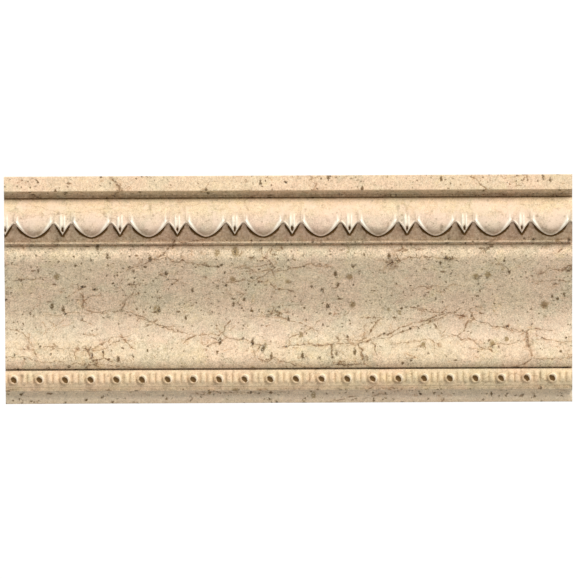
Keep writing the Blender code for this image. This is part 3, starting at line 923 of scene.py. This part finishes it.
def face_materials(mesh):
    """Printed stone on the moulded face, raw foam on the back, the top and the ends."""
    mesh.materials.append(printed_stone())
    mesh.materials.append(raw_foam())
    close = 0.01
    for face in mesh.polygons:
        face.use_smooth = True
        is_end = abs(face.normal.x) > 0.99 and abs(face.center.x) > (HALF_LENGTH - close) * MM
        is_top = face.normal.z > 0.99 and face.center.z > (TOP - close) * MM
        is_back = face.normal.y > 0.2
        face.material_index = int(is_end or is_top or is_back)
    mesh.set_sharp_from_angle(angle=SHARP_ANGLE)


def build_cornice():
    """The whole cornice as one closed mesh: rows joined from the wall's foot round to it."""
    skin = Skin()
    lower = [skin.straight_row(*point) for point in below_strip()]
    foot, top = add_strip(skin)
    middle = [skin.straight_row(*point) for point in above_strip()]
    carving = carving_rows(skin)
    upper = [skin.straight_row(*point) for point in above_carving()]
    skin.join_all(lower + [foot])
    skin.join_all([top] + middle + carving + upper + [lower[0]])
    bm = skin.bm
    cut_square(bm)
    bmesh.ops.recalc_face_normals(bm, faces=bm.faces[:])
    bmesh.ops.triangulate(bm, faces=[face for face in bm.faces if len(face.verts) > 4])
    mesh = bpy.data.meshes.new("cornice_moulding")
    bm.to_mesh(mesh)
    bm.free()
    cornice = bpy.data.objects.new("cornice_moulding", mesh)
    bpy.context.scene.collection.objects.link(cornice)
    face_materials(mesh)
    return cornice


class Nodes:
    """Small helper to write a material's nodes as expressions."""

    def __init__(self, name):
        self.material = bpy.data.materials.new(name)
        self.material.use_nodes = True
        self.tree = self.material.node_tree
        self.shader = self.tree.nodes["Principled BSDF"]
        coords = self.tree.nodes.new("ShaderNodeTexCoord")
        self.place = coords.outputs["Object"]

    def link(self, source, socket):
        if isinstance(source, bpy.types.NodeSocket):
            self.tree.links.new(source, socket)
        else:
            socket.default_value = source

    def math(self, operation, a, b, clamp=False):
        node = self.tree.nodes.new("ShaderNodeMath")
        node.operation = operation
        node.use_clamp = clamp
        self.link(a, node.inputs[0])
        self.link(b, node.inputs[1])
        return node.outputs[0]

    def times(self, first, *others):
        for other in others:
            first = self.math("MULTIPLY", first, other)
        return first

    def vector(self, operation, a, b):
        node = self.tree.nodes.new("ShaderNodeVectorMath")
        node.operation = operation
        self.link(a, node.inputs[0])
        self.link(b, node.inputs["Scale" if operation == "SCALE" else 1])
        return node.outputs[0]

    def noise(self, size_mm, detail=2.0, rough=0.5, place=None, output="Fac"):
        node = self.tree.nodes.new("ShaderNodeTexNoise")
        node.inputs["Scale"].default_value = 1 / (size_mm * MM)
        node.inputs["Detail"].default_value = detail
        node.inputs["Roughness"].default_value = rough
        self.link(place or self.place, node.inputs["Vector"])
        return node.outputs[output]

    def wandering(self, place, size_mm, detail, rough, reach_mm):
        """The place pushed about by noise, so that what is drawn there bends or frays."""
        push = self.noise(size_mm, detail, rough, output="Color")
        push = self.vector("SUBTRACT", push, (0.5, 0.5, 0.5))
        return self.vector("ADD", place, self.vector("SCALE", push, reach_mm * MM))

    def voronoi(self, size_mm, place=None, output="Distance", feature="F1"):
        node = self.tree.nodes.new("ShaderNodeTexVoronoi")
        node.feature = feature
        node.inputs["Scale"].default_value = 1 / (size_mm * MM)
        self.link(place or self.place, node.inputs["Vector"])
        return node.outputs[output]

    def rift(self, size_mm, place):
        """Distance to the border between two cells, which is where a crack runs."""
        return self.voronoi(size_mm, place, feature="DISTANCE_TO_EDGE")

    def range(self, value, low, high, to_low=0.0, to_high=1.0, smooth=True):
        node = self.tree.nodes.new("ShaderNodeMapRange")
        node.interpolation_type = "SMOOTHSTEP" if smooth else "LINEAR"
        names = ("Value", "From Min", "From Max", "To Min", "To Max")
        for name, amount in zip(names, (value, low, high, to_low, to_high)):
            self.link(amount, node.inputs[name])
        return node.outputs[0]

    def mix(self, share, base, tint, blend="MIX"):
        """A colour, base with a share of tint; sockets 6, 7 and 2 are the colour ones."""
        node = self.tree.nodes.new("ShaderNodeMix")
        node.data_type = "RGBA"
        node.blend_type = blend
        self.link(share, node.inputs[0])
        self.link(base, node.inputs[6])
        self.link(opaque(tint), node.inputs[7])
        return node.outputs[2]

    def shade(self, share, base, tint):
        """A colour with a share of it multiplied by tint."""
        return self.mix(share, base, tint, "MULTIPLY")

    def attribute(self, name):
        node = self.tree.nodes.new("ShaderNodeAttribute")
        node.attribute_name = name
        return node.outputs["Fac"]

    def split(self, source, channel):
        node = self.tree.nodes.new("ShaderNodeSeparateXYZ")
        self.link(source, node.inputs[0])
        return node.outputs[channel]

    def bump(self, height, distance_mm, strength):
        node = self.tree.nodes.new("ShaderNodeBump")
        node.inputs["Distance"].default_value = distance_mm * MM
        node.inputs["Strength"].default_value = strength
        self.link(height, node.inputs["Height"])
        return node.outputs[0]


def opaque(colour):
    """Linear red, green and blue with a full alpha."""
    return (*colour, 1.0)


def zone(n, height, low, high, soft=0.6):
    """1 between two heights in millimetres, 0 outside."""
    rise = n.range(height, (low - soft) * MM, (low + soft) * MM)
    fall = n.range(height, (high + soft) * MM, (high - soft) * MM)
    return n.times(rise, fall)


def clouds(n, bent, low):
    """The cream ground with its pink, grey-green, yellow and pale clouds."""
    blend = n.range(n.noise(24, 4, 0.6), 0.40, 0.60)
    base = n.mix(blend, opaque(STONE_PINK), STONE_CREAM)
    for size, detail, begins, full, share, tint in CLOUDS:
        cloud = n.range(n.noise(size, detail, 0.6, place=bent), begins, full, 0, share)
        base = n.mix(cloud, base, tint)
    pale = n.range(n.noise(6, 5, 0.7, place=bent), 0.52, 0.60)
    return n.mix(n.times(pale, n.range(low, 0, 1, 0.25, 0.4)), base, STONE_PALE)


def grain(n, base, lively, low, cap):
    """A sugary grain with brown patches, calmer in the carving, the strip and the cap."""
    rougher = n.times(lively, n.range(low, 0, 1, 1.2, 0.9), n.range(cap, 0, 1, 1.0, 0.75))
    level = 1.0
    for size, amount in GRAIN:
        wave = n.math("SUBTRACT", n.noise(size, 3, 0.7), 0.5)
        level = n.math("ADD", level, n.times(wave, n.times(rougher, amount)))
    base = n.vector("SCALE", base, level)
    brown = n.range(n.noise(1.1, 4, 0.75), 0.44, 0.30)
    return n.shade(n.times(brown, lively), base, GRAIN_BROWN)


def stone_ground(n, bent, height, lively):
    """Clouds and grain, with the small shifts of colour from member to member and two bands of
    painted light, on the strip and under the neck.
    """
    low = zone(n, height, COVE_FOOT - 8, COVE_FOOT + 12, 6)
    cap = zone(n, height, CAP_FOOT, TOP + 2)
    base = clouds(n, bent, low)
    base = grain(n, base, lively, low, cap)
    frieze = zone(n, height, COVE_FOOT, GROOVE_FOOT)
    base = n.shade(n.math("SUBTRACT", 1.0, frieze), base, OUTER_MEMBERS_TINT)
    fillet = zone(n, height, BOTTOM - 2, LIP_FOOT)
    base = n.mix(n.times(fillet, 0.45), base, STONE_LIGHT_GREY)
    base = n.shade(zone(n, height, OVOLO_FOOT, NOTCH_LEVEL + 4, 3), base, EGG_TINT)
    base = n.shade(cap, base, CAP_TINT)
    rosy = n.range(n.noise(7, 3, 0.6, place=bent), 0.45, 0.60, 0, 0.55)
    rosy = n.times(rosy, zone(n, height, OVOLO_FOOT + 4, OVOLO_TOP, 2))
    base = n.mix(rosy, base, STONE_ROSE)
    carved = zone(n, height, NOTCH_LEVEL + 4, OVOLO_TOP + 2, 3)
    strip = zone(n, height, STRIP_FOOT, STRIP_TOP)
    base = n.shade(n.math("MAXIMUM", carved, strip), base, CARVED_TINT)
    # Painted light: the strip's middle is brightened.
    strip_middle_light = zone(n, height, BEAD_LEVEL - 1.2, BEAD_LEVEL + 2.0, 1.0)
    base = n.shade(strip_middle_light, base, STRIP_MIDDLE_PAINTED_LIGHT)
    # Painted light: a band just under the neck's shadow is brightened.
    ovolo_edge_light = zone(n, height, OVOLO_TOP - 3.2, OVOLO_TOP - 1.5, 0.4)
    base = n.shade(ovolo_edge_light, base, OVOLO_EDGE_PAINTED_LIGHT)
    return n.shade(low, base, LOW_COVE_TINT)


def cracks(n, base, height, marks):
    """Thin brown jagged lines, broken up, thickest in the lower part of the cove."""
    low = zone(n, height, COVE_FOOT - 5, COVE_FOOT + 12, 4)
    bent = n.wandering(n.place, 9, 2, 0.5, reach_mm=7)
    bent = n.wandering(bent, 1.9, 4, 0.7, reach_mm=1.9)
    for stretch, size, half_width, needed, help_low, tint in CRACKS:
        away = n.rift(size, n.vector("MULTIPLY", bent, stretch))
        chance = n.noise(size * 1.1, 2, place=n.vector("MULTIPLY", n.place, (0.6, 1.0, 1.0)))
        chance = n.math("ADD", chance, n.times(n.math("SUBTRACT", low, 0.5), help_low))
        present = n.range(chance, needed, needed + 0.06)
        line = n.times(n.range(away, half_width * 1.3, half_width * 0.2), present)
        line = n.times(line, n.range(n.noise(1.4, 2), 0.35, 0.6, 0.4, 1.0))
        stain = n.times(n.range(away, half_width * 7, half_width), present)
        stain = n.times(stain, n.range(n.noise(2.5, 2), 0.4, 0.6, 0, 0.5))
        base = n.shade(n.times(stain, marks), base, CRACK_STAIN)
        base = n.shade(n.times(line, marks), base, tint)
    tangle = n.range(n.rift(2.6, bent), 0.06, 0.015)
    tangle = n.times(tangle, n.range(n.noise(8, 2), 0.62, 0.68))
    tangle = n.times(tangle, n.range(n.noise(2.2, 2), 0.45, 0.6))
    return n.shade(n.times(tangle, marks), base, TANGLE_BROWN)


def pits(n, base, height, marks):
    """Dark olive pits with frayed edges, in clusters, and small light flecks."""
    upper = zone(n, height, COVE_FOOT + 12, GROOVE_FOOT - 3, 4)
    fillet = zone(n, height, BOTTOM - 2, LIP_FOOT)
    low = zone(n, height, ROLL_FOOT, COVE_FOOT + 9, 4)
    favoured = n.math("ADD", n.times(upper, 0.22), n.times(fillet, 0.3))
    favoured = n.math("SUBTRACT", favoured, n.times(low, 0.09))
    cluster = n.range(n.noise(15, 2), 0.36, 0.64, -0.28, 0.26, smooth=False)
    favoured = n.math("ADD", favoured, cluster)
    ragged = n.wandering(n.place, 1.1, 4, 0.7, reach_mm=2.6)
    for stretch, size, radius, needed, strength, tint in PITS:
        place = n.vector("MULTIPLY", ragged, stretch)
        away = n.voronoi(size, place)
        pick = n.voronoi(size, place, "Color")
        chance = n.math("ADD", n.split(pick, "X"), favoured)
        reach = n.range(n.split(pick, "Y"), 0, 1, radius * 0.45, radius * 1.1, smooth=False)
        pit = n.range(n.math("DIVIDE", away, reach), 1.15, 0.5)
        pit = n.times(pit, n.range(chance, needed, needed + 0.02))
        base = n.shade(n.times(pit, n.times(marks, strength)), base, tint)
    flecks = n.range(n.noise(0.95, 1), 0.57, 0.68, 0, n.range(fillet, 0, 1, 0.38, 0.6))
    return n.mix(n.times(flecks, marks), base, FLECK)


def printed_stone():
    """Cream marble print with gilded rims, patina in the beads, and brown wash with painted
    shade in the grooves, hollows and undersides, painted shadow along the carving's outlines
    and a painted highlight on the beads.
    """
    n = Nodes("printed_stone")
    height = n.split(n.place, "Z")
    bent = n.wandering(n.place, 7, 4, 0.65, reach_mm=9)
    carving = zone(n, height, NOTCH_LEVEL - 8, OVOLO_TOP)
    ornament = n.math("MAXIMUM", carving, zone(n, height, STRIP_FOOT - 1, STRIP_TOP))
    lively = n.range(ornament, 0, 1, 1.0, 0.6)
    marks = n.range(ornament, 0, 1, 1.0, 0.4)

    base = stone_ground(n, bent, height, lively)
    base = cracks(n, base, height, marks)
    base = pits(n, base, height, marks)

    # The wash attribute: brown wash, mostly painted shade in the grooves, hollows and
    # undersides, blotted by noise.
    blots = n.range(n.noise(1.4, 3, 0.65), 0.3, 0.7, 0.75, 1.2)
    wash_and_shade = n.math("MULTIPLY", n.attribute("wash_and_shade"), blots, clamp=True)
    base = n.shade(wash_and_shade, base, WASH_AND_SHADE_BROWN)
    # Gilt, and the painted highlight on the beads' rings, worn in places.
    worn = n.range(n.noise(1.3, 3, 0.6), 0.3, 0.55, 0.75, 1.0)
    gilding_and_highlight = n.math("MULTIPLY", n.attribute("gilding_and_highlight"), worn, clamp=True)
    base = n.mix(gilding_and_highlight, base, GILDING_AND_HIGHLIGHT)
    # Patina in the hollows and painted shadow along the outlines, frayed by noise.
    frayed = n.times(n.math("SUBTRACT", n.noise(0.9, 3), 0.5), 1.3)
    sway = n.times(n.math("SUBTRACT", n.noise(6, 1), 0.5), 0.6)
    patina_and_shade = n.math("ADD", n.attribute("patina_and_shade"), n.math("ADD", frayed, sway))
    patina_and_shade = n.range(patina_and_shade, 0.15, 0.62, 0, 0.96)
    patina_and_shade = n.times(patina_and_shade, n.range(n.attribute("patina_and_shade"), 0.0, 0.12))
    base = n.mix(patina_and_shade, base, PATINA_AND_SHADE)

    n.link(base, n.shader.inputs["Base Color"])
    rough = n.range(n.noise(1.8, 3, 0.6), 0.3, 0.7, 0.46, 0.62)
    rough = n.times(rough, n.range(gilding_and_highlight, 0, 1, 1.0, 0.55))
    rough = n.math("ADD", rough, n.times(patina_and_shade, 0.3))
    n.link(rough, n.shader.inputs["Roughness"])
    dull = n.math("MAXIMUM", patina_and_shade, n.times(wash_and_shade, 0.6))
    n.link(n.range(dull, 0, 1, 0.45, 0.03), n.shader.inputs["Specular IOR Level"])
    n.link(n.times(gilding_and_highlight, 0.3), n.shader.inputs["Metallic"])
    n.link(n.bump(n.noise(0.7, 3, 0.6), 0.05, 0.5), n.shader.inputs["Normal"])
    return n.material


def raw_foam():
    """Plain foam of the back, the top and the cut ends."""
    n = Nodes("raw_foam")
    cells = n.voronoi(0.9)
    base = n.mix(n.range(cells, 0.1, 0.7), opaque(FOAM_SHADE), FOAM_LIGHT)
    streaks = n.noise(3.0, 4, 0.6, place=n.vector("MULTIPLY", n.place, (0.06, 1.0, 1.0)))
    base = n.mix(n.range(streaks, 0.4, 0.65, 0, 0.5), base, FOAM_STREAK)
    n.link(base, n.shader.inputs["Base Color"])
    n.link(0.8, n.shader.inputs["Roughness"])
    n.link(n.bump(cells, 0.06, 0.6), n.shader.inputs["Normal"])
    return n.material


def add_floor():
    """A pale floor under the cornice, just below what the main picture shows."""
    mesh = bpy.data.meshes.new("floor")
    sides = ((-1, -1), (1, -1), (1, 1), (-1, 1))
    corners = [(x * FLOOR_REACH, y * FLOOR_REACH, FLOOR_LEVEL) for x, y in sides]
    mesh.from_pydata(corners, [], [(0, 1, 2, 3)])
    floor = bpy.data.objects.new("floor", mesh)
    bpy.context.scene.collection.objects.link(floor)
    n = Nodes("pale_floor")
    n.link(opaque(FLOOR_GREY), n.shader.inputs["Base Color"])
    n.link(0.9, n.shader.inputs["Roughness"])
    mesh.materials.append(n.material)


def add_world():
    """White where the camera looks past the cornice, a softer fill light for the rest."""
    world = bpy.data.worlds.new("studio")
    bpy.context.scene.world = world
    world.use_nodes = True
    tree = world.node_tree
    backdrop = tree.nodes["Background"]
    fill = tree.nodes.new("ShaderNodeBackground")
    rays = tree.nodes.new("ShaderNodeLightPath")
    either = tree.nodes.new("ShaderNodeMixShader")
    tree.links.new(rays.outputs["Is Camera Ray"], either.inputs[0])
    for light, strength, socket in ((fill, FILL_STRENGTH, 1), (backdrop, BACKDROP_STRENGTH, 2)):
        light.inputs["Color"].default_value = opaque(WHITE)
        light.inputs["Strength"].default_value = strength
        tree.links.new(light.outputs[0], either.inputs[socket])
    tree.links.new(either.outputs[0], tree.nodes["World Output"].inputs["Surface"])


def add_key():
    """A broad soft key light, steeply from above and a little from the right."""
    lamp = bpy.data.lights.new("key", "SUN")
    lamp.energy = KEY_STRENGTH
    lamp.angle = math.radians(KEY_SOFTNESS)
    lamp.color = LAMP_COLOUR
    key = bpy.data.objects.new("key", lamp)
    rise = math.radians(KEY_RISE)
    toward = Vector((KEY_RIGHT, -math.cos(rise), math.sin(rise)))
    key.rotation_euler = toward.to_track_quat("Z", "Y").to_euler()
    key.location = toward
    bpy.context.scene.collection.objects.link(key)


def add_camera():
    """A long lens from far in front, level, so that hardly any perspective shows."""
    lens = bpy.data.cameras.new("camera")
    lens.sensor_width = SENSOR_WIDTH
    lens.lens = SENSOR_WIDTH * (CAMERA_AWAY - VIEW_PLANE) / FRAME_WIDTH
    lens.clip_start = CLIP_START
    lens.clip_end = CLIP_END
    camera = bpy.data.objects.new("camera", lens)
    camera.location = (VIEW_X, -CAMERA_AWAY, VIEW_Z)
    camera.rotation_euler = (math.pi / 2, math.radians(CAMERA_ROLL), 0)
    bpy.context.scene.collection.objects.link(camera)
    bpy.context.scene.camera = camera


cornice = build_cornice()
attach(cornice, "root")
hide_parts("cornice")
add_floor()
add_world()
add_key()
add_camera()
bpy.context.scene.view_settings.view_transform = "Standard"
